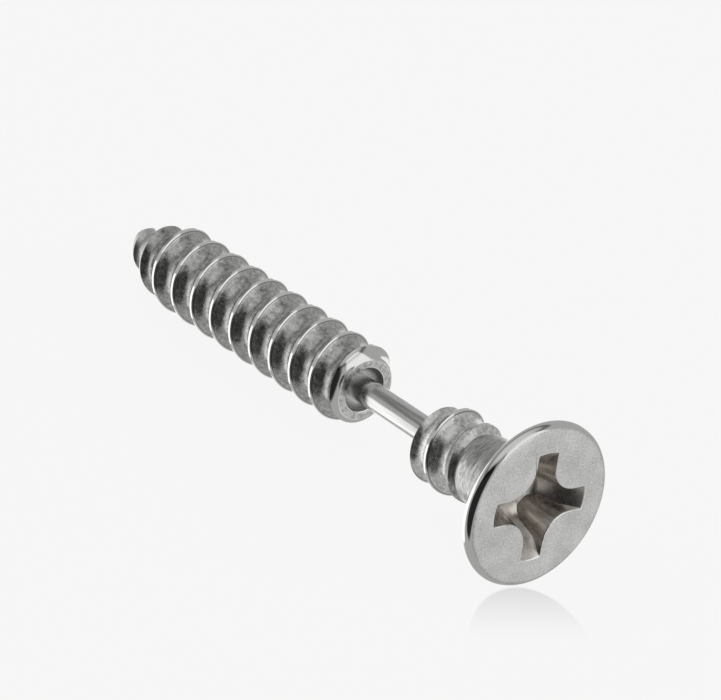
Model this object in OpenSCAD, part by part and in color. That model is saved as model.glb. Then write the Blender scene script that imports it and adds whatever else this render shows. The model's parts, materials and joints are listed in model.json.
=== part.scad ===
// Ear stud made to look like a wood screw that has gone through the lobe.
// A threaded barrel with a blunt point carries a slim post. The countersunk head, with a
// short threaded stub behind it, goes over the end of the post.
// A value that ends in _at is a distance along the screw's axis, from the face of the head.
// The stud lies on the rim of its head and on a thread crest near its point.

/* [Head] */
// Radius of the flat face
face_r = 3.45; // [3.1:0.02:3.6]
// Radius of the half-round rim round the face
rim_r = 0.35; // [0.25:0.01:0.4]
// Slope of the countersink below the rim, in degrees from the axis
sink_angle = 45; // [40:1:50]
// Radius of the neck between the countersink and the stub
neck_r = 1.61; // [1.58:0.01:1.7]
// Radius of the fillet between the countersink and the neck
neck_fillet_r = 0.6; // [0.3:0.05:0.7]
// Where the neck begins to sink into the stub's thread
neck_end_at = 3.6; // [3.5:0.05:3.8]

/* [Cross recess] */
// Distance from the axis to the end of an arm
arm_r = 2.5; // [2.2:0.05:2.7]
// Width of an arm at its end
arm_w = 1.04; // [0.8:0.02:1.2]
// Radius of the round corners between the arms
arm_fillet_r = 1.35; // [1:0.05:1.4]
// Depth of the recess at the middle
recess_depth = 1.95; // [1.7:0.05:2.1]
// Size of the cross at that depth, as a share of its size at the face
recess_narrowing = 0.72; // [0.6:0.02:0.9]
// Angle of the first arm from the top, in degrees
arm_turn = 14.4; // [0:0.1:90]

/* [Thread] */
// Radius over the crests of the barrel
crest_r = 1.95; // [1.9:0.01:1.98]
// Radius over the crests of the stub
stub_crest_r = 1.9; // [1.85:0.01:1.94]
// Radius at the bottom of the groove
root_r = 1.52; // [1.48:0.01:1.55]
// Distance between two crests of the barrel
pitch = 1.47; // [1.4:0.01:1.5]
// Distance between two crests of the stub
stub_pitch = 1.3; // [1.25:0.01:1.45]
// Where a crest of the barrel crosses the top line
barrel_crest_at = 13.77; // [13.1:0.01:14.5]
// Where a crest of the stub crosses the top line
stub_crest_at = 5.68; // [5.1:0.01:6.3]

/* [Stub and barrel] */
// Free end of the stub
stub_end_at = 6.93; // [6.7:0.01:7.2]
// Length of the bevel at the free end of the stub
stub_bevel = 0.6; // [0.3:0.02:0.6]
// Mouth of the barrel, where the post comes out
mouth_at = 11.94; // [11.6:0.02:12.3]
// Radius of the dish in the mouth
dish_r = 1.04; // [0.95:0.01:1.15]
// Depth of the straight wall of the dish
dish_wall = 0.4; // [0.2:0.05:0.6]
// Outer radius of the flat ring round the dish
ring_r = 1.42; // [1.3:0.02:1.5]
// Length of the rounded bevel from the ring to the thread
mouth_bevel = 0.6; // [0.5:0.02:0.7]
// Radius of its rounding
mouth_bevel_r = 1; // [0.7:0.1:2]
// Where the barrel begins to taper to its point
taper_at = 25.8; // [25.2:0.05:26.1]
// Fall of the radius per millimetre along the taper
taper_slope = 0.36; // [0.32:0.01:0.4]
// Radius of the round point
point_r = 0.88; // [0.8:0.01:0.95]
// Centre of the round point
point_at = 28.1; // [27.9:0.05:28.4]

/* [Post] */
// Radius of the post's plain length, 16 gauge
post_r = 0.6; // [0.5:0.01:0.62]
// End of the post inside the head
post_end_at = 3.4; // [3.2:0.05:3.8]
// Length of the post that is pressed into the barrel
post_root = 3; // [2:0.1:4]
// Distance between two crests of the fine thread on the post
fine_pitch = 0.5; // [0.45:0.01:0.55]
// Depth of the fine thread
fine_depth = 0.12; // [0.1:0.01:0.14]
// Length of the fine thread
fine_length = 2; // [1.5:0.1:2.5]
// Radial clearance of the socket that the end of the post goes into
socket_gap = 0.03; // [0.02:0.005:0.05]
// Radial clearance of the pressed root of the post
root_gap = 0.01; // [0.005:0.005:0.02]
// Fall of the radius per millimetre along the pressed root
root_slope = 0.027; // [0.02:0.001:0.035]

/* [Hidden] */
// One turn of the coarse thread: share of the pitch, share of the depth
coarse_form = [[-0.045, 0], [0.045, 0], [0.15, 0.5], [0.29, 0.88], [0.5, 1], [0.71, 0.88], [0.85, 0.5]];
// One turn of the fine thread: share of the pitch, share of the depth
fine_form = [[-0.08, 0], [0.08, 0], [0.42, 1], [0.58, 1]];
// Form of the recess from the face down: share of arm_r, share of the depth
recess_form = [[1, 0], [0.73, 0.3], [0.54, 0.83], [0.42, 0.95], [0, 1]];
// Sides of the two threads, largest step of an arc in degrees, and sides of turned and bored shapes
coarse_sides = 36;
fine_sides = 24;
arc_step = 9;
turned = 96;
bored = 64;
// Sides that the rim of the head gets when its solid is meshed. The head is turned by half a side, so
// that one of them lies flat at the bottom and the stud doesn't roll.
meshed_sides = 62;
// Least radius of a threaded rod, how far a cutter runs past what it cuts, and a place no piece reaches
least_r = 0.2;
past = 0.1;
far_at = 100;

// A solid core joins the neck to the stub, whose thread fades out towards the neck
core_r = root_r - 0.2;
core_end_at = neck_end_at + 0.9;
stub_fade_at = 5.2;
stub_fade_slope = 0.16;
stub_bevel_drop = 1.2 * stub_bevel;

// Socket in the head and the end of the post in it
socket_floor_at = post_end_at - 0.4;
socket_bevel = 0.15;
post_chamfer = 0.22;
post_dimple_r = 0.25;
fine_crest_at = post_end_at + 0.3;
fine_end_at = post_end_at + fine_length;
fine_overlap = 0.15;
runout_r = post_r - fine_depth - 0.05;

// The post is a plain cylinder where the lobe goes, and 0.1 mm into the stub and the mouth.
// From there it tapers to the thread and to the root, as a pin that is pressed in does.
plain_at = stub_end_at - 0.1;
plain_end_at = mouth_at + 0.1;

// Mouth of the barrel and the pressed root of the post
lip = 0.06;
dish_floor_angle = 80;
dish_floor_at = mouth_at + dish_wall + dish_r - post_r;
post_root_at = dish_floor_at + post_root;
bore_at = dish_floor_at - 2 * past;
bore_end_at = post_root_at + root_gap;

// The thread's taper is cut by a steeper cone, and that by the round point
cut_at = 27.3;
cut_r = 1.46;
cut_angle = 17;
point_end_at = point_at + point_r;

// Ends of the line that the stud lies on: the rim, and the last whole crest underneath
foot_turns = floor((taper_at - barrel_crest_at) / pitch - 0.5);
foot_at = barrel_crest_at + (foot_turns + 0.5 + coarse_form[1][0]) * pitch;
lean_run = foot_at - rim_r;
lean_rise = face_r - crest_r;
lean = asin(rim_r / norm([lean_run, lean_rise])) + atan(lean_rise / lean_run);

// Place of the face's centre that brings the lowest middle point of the box to the origin
face_z = face_r * cos(lean) + rim_r * sin(lean) + rim_r;
right_x = face_r * sin(lean) + rim_r * (1 - cos(lean));
left_x = -(point_at * cos(lean) + point_r);
face_x = -(right_x + left_x) / 2;

// Puts a piece that is made along the screw's axis into its resting place
module in_place() {
    translate([face_x, 0, face_z]) rotate([0, -90 - lean, 0]) children();
}

// Points of an arc from one angle to the other
function arc(centre, r, from, to) =
    let (steps = max(1, ceil(abs(to - from) / arc_step)))
    [for (i = [0:steps]) let (t = from + (to - from) * i / steps) centre + r * [cos(t), sin(t)]];

function turned_point(p, t) = [p[0] * cos(t) - p[1] * sin(t), p[0] * sin(t) + p[1] * cos(t)];

// Points of an arc of a given radius that bulges outwards from one point to the next
function bulge(a, b, r) =
    let (half = norm(b - a) / 2, out = [b[1] - a[1], a[0] - b[0]] / (2 * half),
         turn = atan2(out[1], out[0]), open = asin(half / r))
    arc((a + b) / 2 - r * cos(open) * out, r, turn - open, turn + open);

// Radius of the tapered root of the post
function root_r_at(z) = post_r - root_slope * (z - plain_end_at);

// A right-handed threaded rod as one closed skin, a turn longer than asked at both ends.
// Its radius falls by low_slope before low_at, and by high_slope after high_at.
module threaded_rod(form, sides, outer, depth, lead, crest_at, from, to,
                    low_at = 0, low_slope = 0, high_at = far_at, high_slope = 0) {
    rows = len(form);
    first_turn = floor((from - crest_at) / lead) - 1;
    columns = (ceil((to - crest_at) / lead) - first_turn + 1) * rows;
    last = columns - 1;
    function at(i, c) = crest_at + lead * (first_turn + floor(c / rows) + form[c % rows][0] + i / sides);
    function fall(z) = max(0, low_at - z) * low_slope + max(0, z - high_at) * high_slope;
    function radius(c, z) = max(least_r, outer - depth * form[c % rows][1] - fall(z));
    // After the last side comes the first one again, a turn further on
    function id(i, c) = i < sides ? i * columns + c : c + rows;

    skin = [for (i = [0:sides - 1]) for (c = [0:last])
        let (z = at(i, c), r = radius(c, z), t = 360 * i / sides) [r * cos(t), r * sin(t), z]];
    low_tip = len(skin);
    high_tip = low_tip + 1;
    tips = [[0, 0, at(0, 0) - lead], [0, 0, at(sides, last) + lead]];
    wall = [for (i = [0:sides - 1]) for (c = [0:(i < sides - 1 ? last : last - rows) - 1]) each
        [[id(i, c), id(i, c + 1), id(i + 1, c + 1)], [id(i, c), id(i + 1, c + 1), id(i + 1, c)]]];
    low_cap = concat(
        [for (i = [0:sides - 1]) [low_tip, id(i, 0), id(i + 1, 0)]],
        [for (c = [0:rows - 1]) [low_tip, id(0, c + 1), id(0, c)]]);
    high_cap = concat(
        [for (i = [0:sides - 2]) [high_tip, id(i + 1, last), id(i, last)]],
        [for (c = [last - rows:last - 1]) [high_tip, id(sides - 1, c), id(sides - 1, c + 1)]],
        [[high_tip, id(0, last), id(sides - 1, last - rows)]]);
    polyhedron(concat(skin, tips), concat(wall, low_cap, high_cap));
}

// Face, half-round rim, countersink, fillet and neck, turned in one piece
module head_blank() {
    sink_start = [face_r + rim_r * cos(sink_angle), rim_r + rim_r * sin(sink_angle)];
    sink_end_at = sink_start[1] + (sink_start[0] - neck_r) / tan(sink_angle);
    fillet_centre = [neck_r + neck_fillet_r, sink_end_at + neck_fillet_r * tan(sink_angle / 2)];
    rotate([0, 0, 180 / meshed_sides]) rotate_extrude($fn = turned) polygon(concat(
        [[0, 0]],
        arc([face_r, rim_r], rim_r, -90, sink_angle),
        arc(fillet_centre, neck_fillet_r, 180 + sink_angle, 180),
        [[neck_r, neck_end_at], [core_r, core_end_at], [0, core_end_at]]));
}

// Short thread behind the neck, with a bevelled free end
module stub() {
    low = neck_end_at - stub_pitch / 2;
    room_r = stub_crest_r + past;
    intersection() {
        threaded_rod(coarse_form, coarse_sides, stub_crest_r, stub_crest_r - root_r, stub_pitch,
                     stub_crest_at, low, stub_end_at, low_at = stub_fade_at, low_slope = stub_fade_slope);
        rotate_extrude($fn = turned)
            polygon([[0, low], [room_r, low], [room_r, stub_end_at - stub_bevel],
                     [room_r - stub_bevel_drop, stub_end_at], [0, stub_end_at]]);
    }
}

// Outline of the cross at the face, with round corners between its arms
module cross_outline() {
    half = arm_w / 2;
    quarter = concat(
        [[arm_r + past, -half], [arm_r + past, half]],
        arc([half + arm_fillet_r, half + arm_fillet_r], arm_fillet_r, 270, 180));
    polygon([for (k = [0:3]) for (p = quarter) turned_point(p, 90 * k)]);
}

// The cross gets narrower with depth, so that a driver centres itself, and ends in a blunt nose
module cross_recess() {
    rotate([0, 0, arm_turn]) intersection() {
        translate([0, 0, -past])
            linear_extrude(recess_depth + 2 * past, scale = recess_narrowing) cross_outline();
        rotate_extrude($fn = turned)
            polygon(concat([[0, -past], [arm_r, -past]],
                           [for (step = recess_form) [step[0] * arm_r, step[1] * recess_depth]]));
    }
}

// Bore for the end of the post, with a bevelled mouth
module socket() {
    socket_r = post_r + socket_gap;
    translate([0, 0, socket_floor_at])
        cylinder(r = socket_r, h = stub_end_at + past - socket_floor_at, $fn = bored);
    translate([0, 0, stub_end_at - socket_bevel])
        cylinder(r1 = socket_r, r2 = socket_r + 2 * socket_bevel, h = 2 * socket_bevel, $fn = bored);
}

// Head and stub are one piece of steel
module screw_head() {
    color("lightgray") in_place() difference() {
        union() {
            head_blank();
            stub();
        }
        cross_recess();
        socket();
    }
}

// Fine thread with a chamfered end, which goes into the head
module post_thread() {
    high = fine_end_at + fine_overlap;
    intersection() {
        threaded_rod(fine_form, fine_sides, post_r, fine_depth, fine_pitch, fine_crest_at,
                     post_end_at, high);
        rotate_extrude($fn = bored)
            polygon([[0, post_end_at], [post_r - post_chamfer, post_end_at],
                     [post_r + past, post_end_at + post_chamfer + past], [post_r + past, high], [0, high]]);
    }
}

// The post: its thread, its plain length between two tapers, and a centre dimple in its end
module post() {
    color("silver") in_place() difference() {
        union() {
            post_thread();
            rotate_extrude($fn = bored)
                polygon([[0, fine_end_at], [runout_r, fine_end_at], [post_r, plain_at],
                         [post_r, plain_end_at], [root_r_at(post_root_at), post_root_at],
                         [0, post_root_at]]);
        }
        translate([0, 0, post_end_at - past])
            cylinder(r1 = post_dimple_r, r2 = 0, h = post_dimple_r, $fn = bored);
    }
}

// Outer limits of the barrel: bevelled mouth, room for the crests, taper and round point
module barrel_limits() {
    room_r = crest_r + past;
    rotate_extrude($fn = turned)
        polygon(concat(
            [[0, mouth_at], [ring_r, mouth_at]],
            bulge([ring_r + lip, mouth_at + lip / 3], [room_r, mouth_at + mouth_bevel], mouth_bevel_r),
            [[room_r, taper_at - past], [cut_r, cut_at]],
            arc([0, point_at], point_r, cut_angle, 90)));
}

// Dish in the mouth, whose round floor runs down to the post
module dish() {
    floor_r = dish_r - post_r;
    rotate_extrude($fn = bored)
        polygon(concat(
            [[0, mouth_at - past], [dish_r + lip, mouth_at - past], [dish_r + lip, mouth_at],
             [dish_r, mouth_at + lip]],
            arc([dish_r - floor_r, mouth_at + dish_wall], floor_r, 0, dish_floor_angle),
            [[0, dish_floor_at - lip / 3]]));
}

// Threaded barrel, with a bore that the root of the post is pressed into
module barrel() {
    color("silver") in_place() difference() {
        intersection() {
            threaded_rod(coarse_form, coarse_sides, crest_r, crest_r - root_r, pitch, barrel_crest_at,
                         mouth_at, point_end_at, high_at = taper_at, high_slope = taper_slope);
            barrel_limits();
        }
        dish();
        translate([0, 0, bore_at])
            cylinder(r1 = root_r_at(bore_at) + root_gap, r2 = root_r_at(bore_end_at) + root_gap,
                     h = bore_end_at - bore_at, $fn = bored);
    }
}

screw_head();
post();
barrel();
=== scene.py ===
"""Looks of a screw earring: a stud made like a wood screw that has gone through the lobe."""
import json
import math

import bpy
from mathutils import Matrix, Vector


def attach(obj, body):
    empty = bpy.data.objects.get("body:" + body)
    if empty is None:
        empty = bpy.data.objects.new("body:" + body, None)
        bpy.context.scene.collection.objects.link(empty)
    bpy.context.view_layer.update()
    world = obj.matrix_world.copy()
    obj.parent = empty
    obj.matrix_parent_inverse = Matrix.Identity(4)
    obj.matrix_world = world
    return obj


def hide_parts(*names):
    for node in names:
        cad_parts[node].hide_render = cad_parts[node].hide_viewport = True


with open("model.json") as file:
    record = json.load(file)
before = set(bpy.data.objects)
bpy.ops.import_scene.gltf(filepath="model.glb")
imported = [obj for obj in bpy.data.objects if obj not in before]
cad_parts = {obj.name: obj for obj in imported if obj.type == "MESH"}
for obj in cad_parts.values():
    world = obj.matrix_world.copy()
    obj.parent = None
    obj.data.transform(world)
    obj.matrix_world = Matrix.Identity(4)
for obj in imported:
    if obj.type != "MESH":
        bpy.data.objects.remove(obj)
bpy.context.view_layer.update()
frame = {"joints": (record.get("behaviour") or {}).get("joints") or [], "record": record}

# Where the stud lies.
# It is steel, and rests on the rim of its head and on one crest of its thread.
# Its pieces are made upright, with the face of the head at zero and the point at the top, and are then laid
# down so that the middle of the post comes to its place in the frame.
MM = 0.001
post_mount = frame["record"]["mounts"][0]
head_way = Vector(frame["joints"][0]["axis"]).normalized()
POST_MIDDLE_AT = 9.435 * MM
face_centre = Vector(post_mount["pos_m"]) + POST_MIDDLE_AT * head_way
lean = math.atan2(head_way.z, head_way.x)
laid_down = Matrix.Translation(face_centre) @ Matrix.Rotation(-math.pi / 2 - lean, 4, "Y")

# Barrel.
# A rod of surgical steel with a wide, round-bottomed thread cut along it and a blunt point.
# Its grooves are left as they come out of the tumbler, and wear has polished its crests.
CREST_R, ROOT_R, PITCH, CREST_AT = 1.95 * MM, 1.52 * MM, 1.47 * MM, 13.77 * MM
MOUTH_AT, RING_R, DISH_R, DISH_WALL, DISH_FLAT_R = 11.94 * MM, 1.42 * MM, 1.04 * MM, 0.12 * MM, 0.6 * MM
MOUTH_BEVEL, MOUTH_BEVEL_R, LIP = 0.6 * MM, 1 * MM, 0.06 * MM
BORE_R, BORE_END_R, BORE_END_AT = 0.59 * MM, 0.509 * MM, 15.79 * MM
TAPER_AT, TAPER_SLOPE = 25.8 * MM, 0.36
CUT_AT, CUT_R, CUT_ANGLE, POINT_AT, POINT_R = 27.3 * MM, 1.46 * MM, 17, 28.1 * MM, 0.88 * MM
FLAT_SHARE, GROOVE_POWER, GROOVE_ROWS = 0.045, 2.64, 14

# Room for the work: how close two points are to count as one, how close a point is to a cut to count as on
# it, the spare length of a rod before it is cut, the space round a cutting shape, a slight overlap, and the
# slimmest radius
WELD_NEAR, CUT_NEAR = 0.0004 * MM, 0.00001 * MM
SPARE, CLEAR, OVERLAP, SLIMMEST_R = 0.5 * MM, 0.1 * MM, 0.01 * MM, 0.2 * MM


def deselect():
    """Leaves nothing selected, so that an operator acts on the new mesh alone."""
    bpy.ops.object.select_all(action="DESELECT")


def pick(piece):
    """Selects one piece alone and makes it the active one."""
    deselect()
    bpy.context.view_layer.objects.active = piece
    piece.select_set(True)


def draw_outline(name, points):
    """Draws an outline point by point, as (radius, place along the axis), and stays in edit mode."""
    deselect()
    start = Vector((points[0][0], 0, points[0][1]))
    bpy.ops.mesh.primitive_plane_add(size=MM, location=(0, 0, 0))
    piece = bpy.context.object
    piece.name = name
    bpy.ops.object.mode_set(mode="EDIT")
    bpy.ops.mesh.select_all(action="SELECT")
    bpy.ops.mesh.merge(type="CENTER")
    bpy.ops.transform.translate(value=start)
    for before, after in zip(points, points[1:]):
        step = (after[0] - before[0], 0, after[1] - before[1])
        bpy.ops.mesh.extrude_vertices_move(TRANSFORM_OT_translate={"value": step})
    return piece


def arc(centre, radius, start, end, steps):
    """Points of a round stretch of an outline, with its angles in degrees from the radius's own way."""
    angles = [math.radians(start + (end - start) * i / steps) for i in range(steps + 1)]
    return [(centre[0] + radius * math.cos(a), centre[1] + radius * math.sin(a)) for a in angles]


def weld():
    """Joins the points that a spin or a thread has left double, and turns the faces outwards."""
    bpy.ops.mesh.select_all(action="SELECT")
    bpy.ops.mesh.remove_doubles(threshold=WELD_NEAR)
    bpy.ops.mesh.normals_make_consistent(inside=False)
    bpy.ops.object.mode_set(mode="OBJECT")


def turned(name, points, steps=144):
    """A solid of revolution, as turned on a lathe from an outline that starts and ends on the axis."""
    piece = draw_outline(name, points)
    bpy.ops.mesh.select_all(action="SELECT")
    bpy.ops.mesh.spin(steps=steps, angle=math.tau, center=(0, 0, 0), axis=(0, 0, 1))
    weld()
    return piece


def threaded(name, form, outer, depth, pitch, crest_at, low, high, steps=96):
    """A right-handed rod with flat ends, from one turn's form as (share of pitch, share of depth)."""
    spare_turns = 2
    first = math.floor((low - crest_at) / pitch) - spare_turns
    turns = math.ceil((high - crest_at) / pitch) - first + spare_turns
    points = [(outer - depth * sunk, crest_at + pitch * (first + share)) for share, sunk in form]
    points.append((points[0][0], points[0][1] + pitch))
    piece = draw_outline(name, points)
    bpy.ops.object.mode_set(mode="OBJECT")
    helix = piece.modifiers.new("helix", "SCREW")
    helix.steps = helix.render_steps = steps
    helix.screw_offset = pitch
    helix.iterations = turns
    bpy.ops.object.modifier_apply(modifier=helix.name)
    bpy.ops.object.mode_set(mode="EDIT")
    bpy.ops.mesh.select_all(action="SELECT")
    bpy.ops.mesh.remove_doubles(threshold=WELD_NEAR)
    for place, outward in ((low, -1), (high, 1)):
        bpy.ops.mesh.select_all(action="SELECT")
        bpy.ops.mesh.bisect(plane_co=(0, 0, place), plane_no=(0, 0, outward), use_fill=True,
                            clear_outer=True, threshold=CUT_NEAR)
    weld()
    return piece


def combine(piece, other, way):
    """Cuts, joins or keeps the shared part of two solids, and deletes the second one."""
    pick(piece)
    cut = piece.modifiers.new("cut", "BOOLEAN")
    cut.operation = way
    cut.solver = "EXACT"
    cut.object = other
    bpy.ops.object.modifier_apply(modifier=cut.name)
    bpy.data.objects.remove(other)


def taper(piece, slope, start, way):
    """Thins a threaded rod by a slope from one place on, towards the point (1) or the head (-1)."""
    for point in piece.data.vertices:
        reach = math.hypot(point.co.x, point.co.y)
        fallen = max(SLIMMEST_R, reach - slope * max(0, way * (point.co.z - start)))
        point.co.xy *= fallen / reach if reach > 0 else 1


def groove_form():
    """One turn of the thread: a narrow flat crest, then a groove whose bottom is a wide, soft curve."""
    form = [(-FLAT_SHARE, 0), (-0.5 * FLAT_SHARE, 0), (0, 0), (0.5 * FLAT_SHARE, 0), (FLAT_SHARE, 0)]
    for i in range(1, GROOVE_ROWS):
        along = 0.5 - 0.5 * math.cos(math.pi * i / GROOVE_ROWS)
        share = FLAT_SHARE + (1 - 2 * FLAT_SHARE) * along
        form.append((share, 1 - abs(2 * along - 1) ** GROOVE_POWER))
    return form


def bulge(start, end, radius, steps):
    """Points of a round stretch of an outline that bulges outwards from one point to the next."""
    half = 0.5 * math.dist(start, end)
    out = ((end[1] - start[1]) / (2 * half), (start[0] - end[0]) / (2 * half))
    sunk = math.sqrt(radius ** 2 - half ** 2)
    centre = [0.5 * (start[i] + end[i]) - sunk * out[i] for i in (0, 1)]
    turn, spread = math.degrees(math.atan2(out[1], out[0])), math.degrees(math.asin(half / radius))
    return arc(centre, radius, turn - spread, turn + spread, steps)


barrel = threaded("barrel_shell", groove_form(), CREST_R, CREST_R - ROOT_R, PITCH, CREST_AT,
                  MOUTH_AT - SPARE, POINT_AT + POINT_R + SPARE)
taper(barrel, TAPER_SLOPE, TAPER_AT, 1)
ROOM_R = CREST_R + CLEAR
dish_floor_r = DISH_R - DISH_FLAT_R
barrel_room = turned("barrel_room", [
    (0, BORE_END_AT), (BORE_END_R, BORE_END_AT),
    (BORE_R, MOUTH_AT + DISH_WALL + dish_floor_r - OVERLAP),
    *arc((DISH_FLAT_R, MOUTH_AT + DISH_WALL), dish_floor_r, 80, 0, 12),
    (DISH_R, MOUTH_AT + LIP), (DISH_R + LIP / 3, MOUTH_AT + LIP / 4), (DISH_R + LIP, MOUTH_AT),
    (RING_R, MOUTH_AT),
    *bulge((RING_R + LIP, MOUTH_AT + LIP / 3), (ROOM_R, MOUTH_AT + MOUTH_BEVEL), MOUTH_BEVEL_R, 12),
    (ROOM_R, TAPER_AT - CLEAR), (CUT_R, CUT_AT),
    *arc((0, POINT_AT), POINT_R, CUT_ANGLE, 90, 16),
])
combine(barrel, barrel_room, "INTERSECT")


def linear(code):
    """The linear colour, with full cover, of an sRGB hex value such as #c8c5c0."""
    parts = [int(code[i:i + 2], 16) / 255 for i in (1, 3, 5)]
    return [p / 12.92 if p <= 0.04045 else ((p + 0.055) / 1.055) ** 2.4 for p in parts] + [1]


def node(tree, kind, sockets=None, **settings):
    """Adds a node with its settings, and fills its sockets with values or with links from other nodes."""
    added = tree.nodes.new(kind)
    for name, value in settings.items():
        setattr(added, name, value)
    for name, value in (sockets or {}).items():
        if isinstance(value, bpy.types.NodeSocket):
            tree.links.new(value, added.inputs[name])
        else:
            added.inputs[name].default_value = value
    return added


def new_finish(name):
    """A material with a steel shader, and the place on the screw as its pattern's coordinates."""
    finish = bpy.data.materials.new(name)
    finish.use_nodes = True
    tree = finish.node_tree
    steel = tree.nodes["Principled BSDF"]
    steel.inputs["Metallic"].default_value = 1
    upright = laid_down.inverted()
    coordinates = node(tree, "ShaderNodeTexCoord")
    place = node(tree, "ShaderNodeMapping", {
        "Vector": coordinates.outputs["Object"], "Location": upright.translation,
        "Rotation": upright.to_euler()})
    return finish, tree, steel, place.outputs["Vector"]


# Tumbled stainless steel: the stones leave a dull, mottled grey in the grooves, and rub the crests to a
# mirror. Bright pinpoints in the grooves are painted highlights, glints painted into the colour, and a
# thin darker line is drawn just below the crests' edge. The mottling is 0.2 mm across, and the finer
# pinpoints are drawn 0.07 mm across, which is as coarse as they need to be to show. A film of fine dust
# scatters a tenth of the light, so that no part is quite black, and painted shade makes the point darker.
MOTTLE_SIZE, GRIT_SIZE, TUMBLED_BUMP = 0.2 * MM, 0.07 * MM, 0.011 * MM
DUSTY_METALLIC, POINT_SHARE = 0.9, 0.7
POLISH_START, POLISH_END = 0.15 * MM, 0.06 * MM
DARK_LINE_DEPTH, DARK_LINE_HALF, DARK_LINE_SHARE = 0.08 * MM, 0.034 * MM, 0.4


def tumbled_finish(name, crest_r, dark, light):
    """Tumbled steel, from the radius of its crests and the darkest and lightest grey in its grooves."""
    finish, tree, steel, place = new_finish(name)
    steel.inputs["Metallic"].default_value = DUSTY_METALLIC
    flat = node(tree, "ShaderNodeVectorMath", {0: place, 1: (1, 1, 0)}, operation="MULTIPLY")
    reach = node(tree, "ShaderNodeVectorMath", {0: flat.outputs[0]}, operation="LENGTH")
    polish = node(tree, "ShaderNodeMapRange", {
        "Value": reach.outputs["Value"], "From Min": crest_r - POLISH_START,
        "From Max": crest_r - POLISH_END}, interpolation_type="SMOOTHSTEP")
    mottle = node(tree, "ShaderNodeTexNoise", {
        "Vector": place, "Scale": 1 / MOTTLE_SIZE, "Detail": 4, "Roughness": 0.65})
    grit = node(tree, "ShaderNodeTexNoise", {
        "Vector": place, "Scale": 1 / GRIT_SIZE, "Detail": 2, "Roughness": 0.6})
    shade = node(tree, "ShaderNodeValToRGB", {"Fac": mottle.outputs["Fac"]})
    shade.color_ramp.elements[0].position, shade.color_ramp.elements[0].color = 0.36, linear(dark)
    shade.color_ramp.elements[1].position, shade.color_ramp.elements[1].color = 0.66, linear(light)
    # Painted highlights: bright pinpoints mixed into the grey, where facets would catch the light
    painted_glints = node(tree, "ShaderNodeMapRange", {
        "Value": grit.outputs["Fac"], "From Min": 0.6, "From Max": 0.72, "To Min": 0, "To Max": 0.5})
    glinted = node(tree, "ShaderNodeMix", {
        0: painted_glints.outputs["Result"], 6: shade.outputs["Color"], 7: linear("#f4f4f2")}, data_type="RGBA")
    tint = node(tree, "ShaderNodeMix", {
        0: polish.outputs["Result"], 6: glinted.outputs[2], 7: linear("#e4e4e3")}, data_type="RGBA")
    # A thin darker line just below the crests' edge
    off_line = node(tree, "ShaderNodeMath", {0: reach.outputs["Value"], 1: crest_r - DARK_LINE_DEPTH},
                    operation="SUBTRACT")
    from_line = node(tree, "ShaderNodeMath", {0: off_line.outputs["Value"]}, operation="ABSOLUTE")
    dark_line = node(tree, "ShaderNodeMapRange", {
        "Value": from_line.outputs["Value"], "From Min": 0.4 * DARK_LINE_HALF, "From Max": DARK_LINE_HALF,
        "To Min": DARK_LINE_SHARE, "To Max": 1})
    along = node(tree, "ShaderNodeSeparateXYZ", {0: place})
    # Painted shade: the colour grows darker towards the point
    point_painted_shade = node(tree, "ShaderNodeMapRange", {
        "Value": along.outputs["Z"], "From Min": TAPER_AT, "From Max": POINT_AT, "To Min": 1,
        "To Max": POINT_SHARE})
    cover = node(tree, "ShaderNodeMath", {0: dark_line.outputs["Result"], 1: point_painted_shade.outputs["Result"]},
                 operation="MULTIPLY")
    darkened = node(tree, "ShaderNodeVectorMath", {
        0: tint.outputs[2], "Scale": cover.outputs["Value"]}, operation="SCALE")
    dull = node(tree, "ShaderNodeMapRange", {
        "Value": mottle.outputs["Fac"], "From Min": 0.35, "From Max": 0.65, "To Min": 0.19, "To Max": 0.32})
    gloss = node(tree, "ShaderNodeMix", {0: polish.outputs["Result"], 2: dull.outputs["Result"], 3: 0.1})
    relief = node(tree, "ShaderNodeMath", {0: grit.outputs["Fac"], 1: 0.1, 2: mottle.outputs["Fac"]},
                  operation="MULTIPLY_ADD")
    smooth = node(tree, "ShaderNodeMath", {0: 1.0, 1: polish.outputs["Result"]}, operation="SUBTRACT")
    bumps = node(tree, "ShaderNodeBump", {
        "Height": relief.outputs["Value"], "Strength": smooth.outputs["Value"], "Distance": TUMBLED_BUMP})
    tree.links.new(darkened.outputs[0], steel.inputs["Base Color"])
    tree.links.new(gloss.outputs[0], steel.inputs["Roughness"])
    tree.links.new(bumps.outputs["Normal"], steel.inputs["Normal"])
    return finish


tumbled = tumbled_finish("tumbled_stainless_steel", CREST_R, "#989896", "#d0d0ce")

# Polished stainless steel: near a mirror, with a faint haze in patches of 0.3 mm
HAZE_SIZE = 0.3 * MM
polished, tree, steel, place = new_finish("polished_stainless_steel")
haze = node(tree, "ShaderNodeTexNoise", {"Vector": place, "Scale": 1 / HAZE_SIZE, "Detail": 3})
dull = node(tree, "ShaderNodeMapRange", {"Value": haze.outputs["Fac"], "To Min": 0.06, "To Max": 0.14})
steel.inputs["Base Color"].default_value = linear("#d8d8d7")
tree.links.new(dull.outputs["Result"], steel.inputs["Roughness"])

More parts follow.
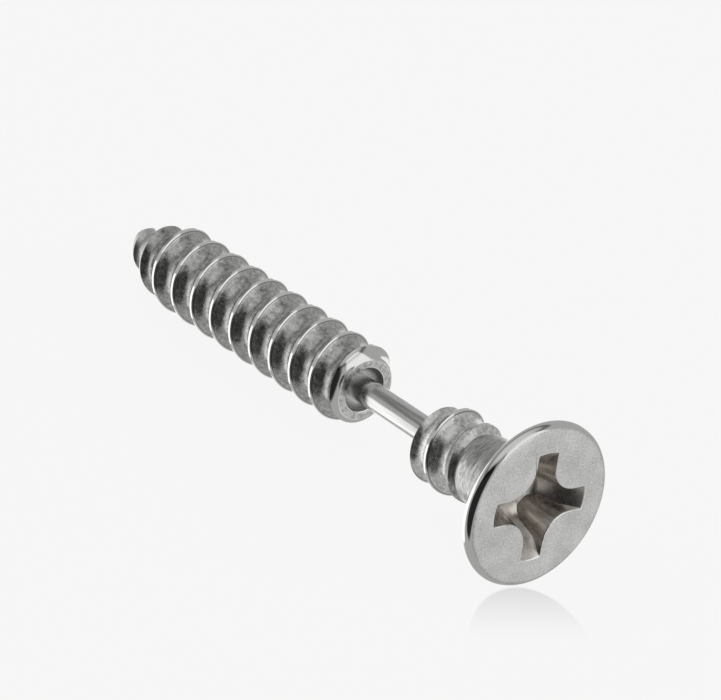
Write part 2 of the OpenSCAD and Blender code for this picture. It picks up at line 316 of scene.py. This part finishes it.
# Satin stainless steel: rubbed on a fine wheel, which leaves an even, soft grey with barely seen clouds of
# 1.2 mm, and with fine specks, which are drawn 0.09 mm across so that they show
SPECK_SIZE, CLOUD_SIZE, SATIN_BUMP = 0.09 * MM, 1.2 * MM, 0.003 * MM
satin, tree, steel, place = new_finish("satin_stainless_steel")
specks = node(tree, "ShaderNodeTexNoise", {
    "Vector": place, "Scale": 1 / SPECK_SIZE, "Detail": 3, "Roughness": 0.6})
clouds = node(tree, "ShaderNodeTexNoise", {"Vector": place, "Scale": 1 / CLOUD_SIZE, "Detail": 2})
worn = node(tree, "ShaderNodeMath", {0: clouds.outputs["Fac"], 1: 0.6, 2: specks.outputs["Fac"]},
            operation="MULTIPLY_ADD")
shade = node(tree, "ShaderNodeValToRGB", {"Fac": worn.outputs["Value"]})
shade.color_ramp.elements[0].position, shade.color_ramp.elements[0].color = 0.6, linear("#b6b6b5")
shade.color_ramp.elements[1].position, shade.color_ramp.elements[1].color = 1, linear("#dcdcdb")
dull = node(tree, "ShaderNodeMapRange", {"Value": clouds.outputs["Fac"], "To Min": 0.36, "To Max": 0.46})
bumps = node(tree, "ShaderNodeBump", {
    "Height": specks.outputs["Fac"], "Strength": 0.5, "Distance": SATIN_BUMP})
tree.links.new(shade.outputs["Color"], steel.inputs["Base Color"])
tree.links.new(dull.outputs["Result"], steel.inputs["Roughness"])
tree.links.new(bumps.outputs["Normal"], steel.inputs["Normal"])

# Where one finish of the barrel ends and the next begins
CREST_BAND, RING_FACING = 0.02 * MM, -0.99


def barrel_finish(middle, reach, facing):
    """Satin dish, polished lip and bevel at the mouth, and the rest as it comes out of the tumbler."""
    if reach < DISH_R and middle.z > MOUTH_AT + LIP:
        return satin
    if middle.z > MOUTH_AT + MOUTH_BEVEL or reach > CREST_R - CREST_BAND:
        return tumbled
    return tumbled if facing.z < RING_FACING and reach > DISH_R else polished


def finish_faces(piece, finishes, choose):
    """Gives each face the finish that choose() picks from its middle, its reach and its normal."""
    for finish in finishes:
        piece.data.materials.append(finish)
    for face in piece.data.polygons:
        face.material_index = finishes.index(choose(face.center, face.center.xy.length, face.normal))


SMOOTH_BELOW = math.radians(32)


def lay_down(piece, body):
    """Brings a finished piece from its upright place to where the stud lies, and fixes it to its body."""
    pick(piece)
    piece.matrix_world = laid_down
    bpy.ops.object.transform_apply(location=True, rotation=True, scale=True)
    bpy.ops.object.shade_smooth_by_angle(angle=SMOOTH_BELOW)
    even = piece.modifiers.new("even", "WEIGHTED_NORMAL")
    even.keep_sharp = True
    bpy.ops.object.modifier_apply(modifier=even.name)
    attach(piece, body)


finish_faces(barrel, (tumbled, polished, satin), barrel_finish)
lay_down(barrel, "shank")
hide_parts("barrel")

# Post.
# A slim pin of drawn steel, rubbed bright and pressed into the barrel.
# Its free end has a fine thread, a chamfer and a small centre hole, and goes into the head.
POST_R, POST_END_AT, POST_CHAMFER, DIMPLE_R = 0.6 * MM, 3.4 * MM, 0.22 * MM, 0.25 * MM
FINE_PITCH, FINE_DEPTH, FINE_END_AT = 0.5 * MM, 0.12 * MM, 5.4 * MM
FINE_CREST, FINE_LEAD, FINE_TAIL, TIP_ROOM = 0.3 * MM, 0.2 * MM, 0.15 * MM, 1 * MM
RUNOUT_R, PLAIN_AT, PLAIN_END_AT = 0.43 * MM, 6.83 * MM, 12.04 * MM
ROOT_END_R, POST_ROOT_AT = 0.499 * MM, 15.78 * MM
FINE_FORM = [(-0.08, 0), (0, 0), (0.08, 0), (0.25, 0.5), (0.42, 1), (0.5, 1), (0.58, 1), (0.75, 0.5)]

post = threaded("post_pin", FINE_FORM, POST_R, FINE_DEPTH, FINE_PITCH, POST_END_AT + FINE_CREST,
                POST_END_AT - FINE_LEAD, FINE_END_AT + FINE_TAIL, steps=48)
post_tip = turned("post_tip", [
    (0, POST_END_AT + DIMPLE_R), (DIMPLE_R, POST_END_AT), (POST_R - POST_CHAMFER, POST_END_AT),
    (POST_R + CLEAR, POST_END_AT + POST_CHAMFER + CLEAR),
    (POST_R + CLEAR, FINE_END_AT + TIP_ROOM), (0, FINE_END_AT + TIP_ROOM),
], steps=96)
combine(post, post_tip, "INTERSECT")
plain_length = turned("plain_length", [
    (0, FINE_END_AT), (RUNOUT_R, FINE_END_AT), (POST_R, PLAIN_AT),
    (POST_R, PLAIN_END_AT), (ROOT_END_R, POST_ROOT_AT), (0, POST_ROOT_AT),
], steps=96)
combine(post, plain_length, "UNION")

# Drawn stainless steel: the die leaves fine scratches along the pin, which soften its shine. They are drawn
# 0.05 mm apart so that they show.
SCRATCH_SIZE, SCRATCH_STRETCH = 0.05 * MM, 0.04
drawn, tree, steel, place = new_finish("drawn_stainless_steel")
stretched = node(tree, "ShaderNodeVectorMath", {0: place, 1: (1, 1, SCRATCH_STRETCH)}, operation="MULTIPLY")
scratches = node(tree, "ShaderNodeTexNoise", {
    "Vector": stretched.outputs[0], "Scale": 1 / SCRATCH_SIZE, "Detail": 3, "Roughness": 0.6})
shade = node(tree, "ShaderNodeValToRGB", {"Fac": scratches.outputs["Fac"]})
shade.color_ramp.elements[0].position, shade.color_ramp.elements[0].color = 0.35, linear("#cccccb")
shade.color_ramp.elements[1].position, shade.color_ramp.elements[1].color = 0.65, linear("#e0e0df")
dull = node(tree, "ShaderNodeMapRange", {"Value": scratches.outputs["Fac"], "To Min": 0.14, "To Max": 0.24})
tree.links.new(shade.outputs["Color"], steel.inputs["Base Color"])
tree.links.new(dull.outputs["Result"], steel.inputs["Roughness"])
post.data.materials.append(drawn)
lay_down(post, "shank")
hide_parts("post")

# Screw head.
# A countersunk head turned with the short threaded stub behind it, from one piece of steel.
# Its face is satin, its rim and countersink are polished, and the cross recess is punched into it.
FACE_R, RIM_R, SINK_ANGLE, NECK_R, NECK_FILLET_R = 3.45 * MM, 0.35 * MM, 45, 1.61 * MM, 0.6 * MM
NECK_END_AT, CORE_R, CORE_END_AT = 3.6 * MM, 1.32 * MM, 4.5 * MM
STUB_CREST_R, STUB_PITCH, STUB_CREST_AT, STUB_END_AT = 1.9 * MM, 1.3 * MM, 5.68 * MM, 6.93 * MM
STUB_FADE_AT, STUB_FADE_SLOPE, STUB_BEVEL, STUB_BEVEL_DROP = 5.2 * MM, 0.16, 0.6 * MM, 0.72 * MM
SOCKET_R, SOCKET_FLOOR_AT, SOCKET_BEVEL = 0.63 * MM, 3.0 * MM, 0.15 * MM
ARM_R, ARM_W, ARM_FILLET_R, ARM_TURN = 2.5 * MM, 1.04 * MM, 1.35 * MM, 14.4
RECESS_DEPTH, RECESS_NARROWING = 1.95 * MM, 0.72
RECESS_FORM = [(2.5, 0), (1.82, 0.58), (1.34, 1.62), (1.05, 1.86), (0.7, 1.93), (0, 1.95)]

sink_turn = math.radians(SINK_ANGLE)
sink_start = (FACE_R + RIM_R * math.cos(sink_turn), RIM_R + RIM_R * math.sin(sink_turn))
sink_end_at = sink_start[1] + (sink_start[0] - NECK_R) / math.tan(sink_turn)
fillet_centre = (NECK_R + NECK_FILLET_R, sink_end_at + NECK_FILLET_R * math.tan(sink_turn / 2))
head = turned("head_shell", [
    (0, 0), (0.5 * FACE_R, 0), *arc((FACE_R, RIM_R), RIM_R, -90, SINK_ANGLE, 24),
    *arc(fillet_centre, NECK_FILLET_R, 180 + SINK_ANGLE, 180, 10),
    (NECK_R, NECK_END_AT), (CORE_R, CORE_END_AT), (0, CORE_END_AT),
], steps=192)

stub = threaded("stub", groove_form(), STUB_CREST_R, STUB_CREST_R - ROOT_R, STUB_PITCH, STUB_CREST_AT,
                NECK_END_AT - STUB_PITCH / 2, STUB_END_AT + SPARE)
taper(stub, STUB_FADE_SLOPE, STUB_FADE_AT, -1)
STUB_ROOM_R = STUB_CREST_R + CLEAR
stub_room = turned("stub_room", [
    (0, NECK_END_AT - STUB_PITCH), (STUB_ROOM_R, NECK_END_AT - STUB_PITCH),
    (STUB_ROOM_R, STUB_END_AT - STUB_BEVEL), (STUB_ROOM_R - STUB_BEVEL_DROP, STUB_END_AT), (0, STUB_END_AT),
])
combine(stub, stub_room, "INTERSECT")
combine(head, stub, "UNION")
socket = turned("socket", [
    (0, SOCKET_FLOOR_AT), (SOCKET_R, SOCKET_FLOOR_AT), (SOCKET_R, STUB_END_AT - SOCKET_BEVEL),
    (SOCKET_R + 2 * SOCKET_BEVEL, STUB_END_AT + SOCKET_BEVEL), (0, STUB_END_AT + SOCKET_BEVEL),
], steps=96)
combine(head, socket, "DIFFERENCE")

# The punch that presses the recess: four arms with round corners between them, which get narrower
# with depth and end in a blunt nose. Its form is given as (radius, depth) in millimetres.
corner = 0.5 * ARM_W + ARM_FILLET_R
quarter = [(ARM_R + CLEAR, -0.5 * ARM_W), (ARM_R + CLEAR, 0.5 * ARM_W),
           *arc((corner, corner), ARM_FILLET_R, 270, 180, 12)]
cross = [Matrix.Rotation(math.radians(90 * k), 2) @ Vector(p) for k in range(4) for p in quarter]
deselect()
bpy.ops.mesh.primitive_circle_add(vertices=len(cross), radius=MM, fill_type="NGON")
punch = bpy.context.object
for point, place in zip(punch.data.vertices, cross):
    point.co.xy = place
bpy.ops.object.mode_set(mode="EDIT")
bpy.ops.mesh.select_all(action="SELECT")
bpy.ops.transform.translate(value=(0, 0, -CLEAR))
bpy.ops.mesh.extrude_region_move(TRANSFORM_OT_translate={"value": (0, 0, RECESS_DEPTH + 2 * CLEAR)})
bpy.ops.transform.resize(
    value=(RECESS_NARROWING, RECESS_NARROWING, 1), center_override=(0, 0, RECESS_DEPTH))
weld()
punch_cone = turned("punch_cone", [
    (0, -0.5 * CLEAR), (ARM_R, -0.5 * CLEAR), *[(reach * MM, deep * MM) for reach, deep in RECESS_FORM],
])
combine(punch, punch_cone, "INTERSECT")
punch.matrix_world = Matrix.Rotation(math.radians(ARM_TURN), 4, "Z")
combine(head, punch, "DIFFERENCE")

# The rim of the recess is rounded over a little, as punching and tumbling leave it
RECESS_ROUND, AT_FACE, FACE_FACING, WALL_FACING = 0.045 * MM, 0.001 * MM, -0.99, -0.9
pick(head)
bpy.ops.object.mode_set(mode="EDIT")
bpy.ops.mesh.select_mode(type="EDGE")
bpy.ops.mesh.select_all(action="DESELECT")
bpy.ops.object.mode_set(mode="OBJECT")
sides_of = {}
for face in head.data.polygons:
    for key in face.edge_keys:
        sides_of.setdefault(key, []).append(face.normal.z)
for edge in head.data.edges:
    ends = [head.data.vertices[i].co for i in edge.vertices]
    at_face = all(abs(end.z) < AT_FACE and end.xy.length < ARM_R + 0.5 * CLEAR for end in ends)
    facings = sides_of[edge.key]
    edge.select = at_face and min(facings) < FACE_FACING and max(facings) > WALL_FACING
bpy.ops.object.mode_set(mode="EDIT")
bpy.ops.mesh.bevel(offset=RECESS_ROUND, segments=3, affect="EDGES", loop_slide=False)
bpy.ops.object.mode_set(mode="OBJECT")

# Punched stainless steel: the tool leaves the walls of the recess smooth but dull, brownish, and with
# streaks of 0.35 mm
STREAK_SIZE, STREAK_BUMP = 0.35 * MM, 0.02 * MM
punched, tree, steel, place = new_finish("punched_stainless_steel")
streaks = node(tree, "ShaderNodeTexNoise", {
    "Vector": place, "Scale": 1 / STREAK_SIZE, "Detail": 4, "Roughness": 0.6})
shade = node(tree, "ShaderNodeValToRGB", {"Fac": streaks.outputs["Fac"]})
shade.color_ramp.elements[0].position, shade.color_ramp.elements[0].color = 0.35, linear("#bdb8b2")
shade.color_ramp.elements[1].position, shade.color_ramp.elements[1].color = 0.7, linear("#dcd8d3")
dull = node(tree, "ShaderNodeMapRange", {"Value": streaks.outputs["Fac"], "To Min": 0.22, "To Max": 0.34})
bumps = node(tree, "ShaderNodeBump", {
    "Height": streaks.outputs["Fac"], "Strength": 0.1, "Distance": STREAK_BUMP})
tree.links.new(shade.outputs["Color"], steel.inputs["Base Color"])
tree.links.new(dull.outputs["Result"], steel.inputs["Roughness"])
tree.links.new(bumps.outputs["Normal"], steel.inputs["Normal"])

# Turned stainless steel: the lathe tool leaves fine rings round the neck, 0.08 mm apart, broken by
# scratches
TOOL_RING_SIZE, TOOL_RING_STRETCH, TOOL_RING_BUMP = 0.08 * MM, 0.25, 0.012 * MM
turned_steel, tree, steel, place = new_finish("turned_stainless_steel")
stretched = node(tree, "ShaderNodeVectorMath", {
    0: place, 1: (TOOL_RING_STRETCH, TOOL_RING_STRETCH, 1)}, operation="MULTIPLY")
rings = node(tree, "ShaderNodeTexNoise", {
    "Vector": stretched.outputs[0], "Scale": 1 / TOOL_RING_SIZE, "Detail": 4, "Roughness": 0.6})
shade = node(tree, "ShaderNodeValToRGB", {"Fac": rings.outputs["Fac"]})
shade.color_ramp.elements[0].position, shade.color_ramp.elements[0].color = 0.35, linear("#8f8f8d")
shade.color_ramp.elements[1].position, shade.color_ramp.elements[1].color = 0.65, linear("#cececc")
bumps = node(tree, "ShaderNodeBump", {
    "Height": rings.outputs["Fac"], "Strength": 0.9, "Distance": TOOL_RING_BUMP})
steel.inputs["Roughness"].default_value = 0.28
steel.inputs["Metallic"].default_value = DUSTY_METALLIC
tree.links.new(shade.outputs["Color"], steel.inputs["Base Color"])
tree.links.new(bumps.outputs["Normal"], steel.inputs["Normal"])

# Lighter tumbled steel for the stub: the barrel's finish with its greys painted lighter, as painted light
tumbled_painted_lighter = tumbled_finish("burnished_stainless_steel", STUB_CREST_R, "#babab8", "#f0f0ee")

# Where one finish of the head ends and the next begins
THREAD_AT, RECESS_EDGE, NECK_BAND = 4.05 * MM, 0.04 * MM, 0.5 * MM
FLAT_FACING, SATIN_FACING, SATIN_EDGE_R = -0.999, -0.9, 3.4 * MM


def lies_flat(middle, facing):
    """Whether a face of the head belongs to its flat front."""
    return facing.z < FLAT_FACING and middle.z < AT_FACE


def head_finish(middle, reach, facing):
    """Satin face and edge, punched recess, tumbled thread painted lighter, turned neck, and the rest
    polished.
    """
    if lies_flat(middle, facing) or facing.z < SATIN_FACING and reach > SATIN_EDGE_R:
        return satin
    if reach < ARM_R + CLEAR and RECESS_EDGE < middle.z < RECESS_DEPTH + OVERLAP:
        return punched
    if middle.z > THREAD_AT:
        return tumbled_painted_lighter
    return turned_steel if middle.z > sink_end_at and reach < NECK_R + NECK_BAND else polished


finish_faces(head, (polished, satin, punched, turned_steel, tumbled_painted_lighter), head_finish)
flat_faces = [face for face in head.data.polygons if lies_flat(face.center, face.normal)]
face_edges = {key for face in flat_faces for key in face.edge_keys}
for edge in head.data.edges:
    edge.use_edge_sharp = edge.key in face_edges
lay_down(head, "head")
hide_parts("screw_head")

# Floor.
# A sheet of white acrylic, lit so evenly that it shows hardly any shadow.
# A painted reflection of the head's face lies in front of it: a soft grey oval that fades out within 4 mm.
FLOOR_WIDTH, FLOOR_GLOW = 1.2, 0.9
OVAL_PLACE, OVAL_SIZE, OVAL_TURN = (18.86 * MM, -3.9 * MM, 0), (5.44 * MM, 2.76 * MM, 1), -28.8
OVAL_EDGE, OVAL_SHARE = 0.97, 0.23
FADE_PLACE, FADE_TURN, FADE_LENGTH, FADE_POWER = (14.17 * MM, -1.11 * MM, 0), -39.7, 3.6 * MM, 1.4
deselect()
bpy.ops.mesh.primitive_plane_add(size=FLOOR_WIDTH, location=(0, 0, 0))
floor = bpy.context.object
floor.name = "floor"
acrylic = bpy.data.materials.new("white_acrylic")
acrylic.use_nodes = True
tree = acrylic.node_tree
sheet = tree.nodes["Principled BSDF"]
sheet.inputs["Base Color"].default_value = linear("#404040")
sheet.inputs["Roughness"].default_value = 0.6
sheet.inputs["Specular IOR Level"].default_value = 0
sheet.inputs["Emission Strength"].default_value = FLOOR_GLOW
coordinates = node(tree, "ShaderNodeTexCoord")
# Painted reflection: a grey oval that dims the sheet's glow in front of the head, fading away from it
oval = node(tree, "ShaderNodeMapping", {
    "Vector": coordinates.outputs["Object"], "Location": OVAL_PLACE,
    "Rotation": (0, 0, math.radians(OVAL_TURN)), "Scale": OVAL_SIZE}, vector_type="TEXTURE")
spread = node(tree, "ShaderNodeVectorMath", {0: oval.outputs["Vector"]}, operation="LENGTH")
within = node(tree, "ShaderNodeMapRange", {
    "Value": spread.outputs["Value"], "From Min": OVAL_EDGE, "From Max": 1, "To Min": 1, "To Max": 0})
ahead = node(tree, "ShaderNodeMapping", {
    "Vector": coordinates.outputs["Object"], "Location": FADE_PLACE,
    "Rotation": (0, 0, math.radians(FADE_TURN))}, vector_type="TEXTURE")
distance = node(tree, "ShaderNodeSeparateXYZ", {0: ahead.outputs["Vector"]})
left_over = node(tree, "ShaderNodeMapRange", {
    "Value": distance.outputs["X"], "From Min": 0, "From Max": FADE_LENGTH, "To Min": 1, "To Max": 0})
faded = node(tree, "ShaderNodeMath", {0: left_over.outputs["Result"], 1: FADE_POWER}, operation="POWER")
grey = node(tree, "ShaderNodeMath", {
    0: faded.outputs["Value"], 1: within.outputs["Result"]}, operation="MULTIPLY")
glow = node(tree, "ShaderNodeMapRange", {
    "Value": grey.outputs["Value"], "To Min": 1, "To Max": 1 - OVAL_SHARE})
tree.links.new(glow.outputs["Result"], sheet.inputs["Emission Color"])
floor.data.materials.append(acrylic)
floor.visible_glossy = False
floor.visible_shadow = False

# Studio.
# A grey tent of light stands round the stud, and it is open to one side, where the room is dark.
# White panels draw bright bands on polished steel, and the seam under the tent's ceiling thin dark ones.
DARK_BEARING, DARK_HEIGHT = math.radians(-62), math.radians(12)
DARK_START, DARK_END, DARK_SHARE = math.radians(41), math.radians(48), 0.05
TENT, CEILING, CEILING_START, CEILING_END, BACKDROP = 0.5, 0.25, 0.8, 0.93, 0.93
SEAM_HEIGHT, SEAM_HALF, SEAM_EDGE, SEAM_SHARE = 0.68, 0.05, 0.04, 0.35
world = bpy.data.worlds.new("studio")
bpy.context.scene.world = world
world.use_nodes = True
tree = world.node_tree
sky = tree.nodes["Background"]
way = node(tree, "ShaderNodeTexCoord")
height = node(tree, "ShaderNodeSeparateXYZ", {0: way.outputs["Generated"]})
ceiling = node(tree, "ShaderNodeMapRange", {
    "Value": height.outputs["Z"], "From Min": CEILING_START, "From Max": CEILING_END, "To Min": TENT,
    "To Max": TENT + CEILING})
dark_way = (math.cos(DARK_HEIGHT) * math.cos(DARK_BEARING), math.cos(DARK_HEIGHT) * math.sin(DARK_BEARING),
            math.sin(DARK_HEIGHT))
nearness = node(tree, "ShaderNodeVectorMath", {
    0: way.outputs["Generated"], 1: dark_way}, operation="DOT_PRODUCT")
opening = node(tree, "ShaderNodeMapRange", {
    "Value": nearness.outputs["Value"], "From Min": math.cos(DARK_END), "From Max": math.cos(DARK_START),
    "To Min": 1, "To Max": DARK_SHARE})
from_seam = node(tree, "ShaderNodeMath", {0: height.outputs["Z"], 1: SEAM_HEIGHT}, operation="SUBTRACT")
off_seam = node(tree, "ShaderNodeMath", {0: from_seam.outputs["Value"]}, operation="ABSOLUTE")
seam = node(tree, "ShaderNodeMapRange", {
    "Value": off_seam.outputs["Value"], "From Min": SEAM_HALF, "From Max": SEAM_HALF + SEAM_EDGE,
    "To Min": SEAM_SHARE, "To Max": 1})
wall = node(tree, "ShaderNodeMath", {
    0: ceiling.outputs["Result"], 1: seam.outputs["Result"]}, operation="MULTIPLY")
tone = node(tree, "ShaderNodeMath", {
    0: wall.outputs["Value"], 1: opening.outputs["Result"]}, operation="MULTIPLY")
ray = node(tree, "ShaderNodeLightPath")
seen = node(tree, "ShaderNodeMix", {0: ray.outputs["Is Camera Ray"], 2: tone.outputs["Value"], 3: BACKDROP})
tree.links.new(seen.outputs[0], sky.inputs["Color"])

PANEL_REACH, PANEL_POWER = 0.5, 4.0
MIDDLE = Vector((0, 0, 3 * MM))


def panel(name, bearing, height, wide, high, brightness):
    """A soft light panel that faces the stud, from its bearing and height and the angles that it fills."""
    turn, rise = math.radians(bearing), math.radians(height)
    towards = Vector((math.cos(rise) * math.cos(turn), math.cos(rise) * math.sin(turn), math.sin(rise)))
    light = bpy.data.lights.new(name, "AREA")
    light.shape = "RECTANGLE"
    light.size = 2 * PANEL_REACH * math.tan(math.radians(wide / 2))
    light.size_y = 2 * PANEL_REACH * math.tan(math.radians(high / 2))
    light.energy = PANEL_POWER * brightness * light.size * light.size_y
    lamp = bpy.data.objects.new(name, light)
    lamp.location = MIDDLE + PANEL_REACH * towards
    lamp.rotation_euler = towards.to_track_quat("Z", "Y").to_euler()
    lamp.visible_camera = False
    bpy.context.scene.collection.objects.link(lamp)


panel("left_panel", -152.5, -15, 55, 58, 0.75)
panel("right_panel", 21, 19, 42, 74, 0.5)
panel("back_low_panel", 141, -36, 73, 48, 0.45)
panel("front_low_panel", 35, -34, 50, 34, 0.25)
bpy.context.scene.view_settings.view_transform = "Standard"

# Camera.
# It stands at the photograph's angle, 52 degrees round from the front and 36 degrees up, and looks at the
# stud from 0.19 m away through a long lens.
CAMERA_PLACE = Vector((119.835, -91.861, 114.209)) * MM
CAMERA_WAY = Vector((-0.636153, 0.49643, -0.590648))
CAMERA_LENS, CAMERA_NEAR = 212.2, 0.01
camera_data = bpy.data.cameras.new("camera")
camera_data.sensor_width = 36
camera_data.lens = CAMERA_LENS
camera_data.clip_start = CAMERA_NEAR
camera = bpy.data.objects.new("camera", camera_data)
camera.location = CAMERA_PLACE
camera.rotation_euler = CAMERA_WAY.to_track_quat("-Z", "Y").to_euler()
bpy.context.scene.collection.objects.link(camera)
bpy.context.scene.camera = camera
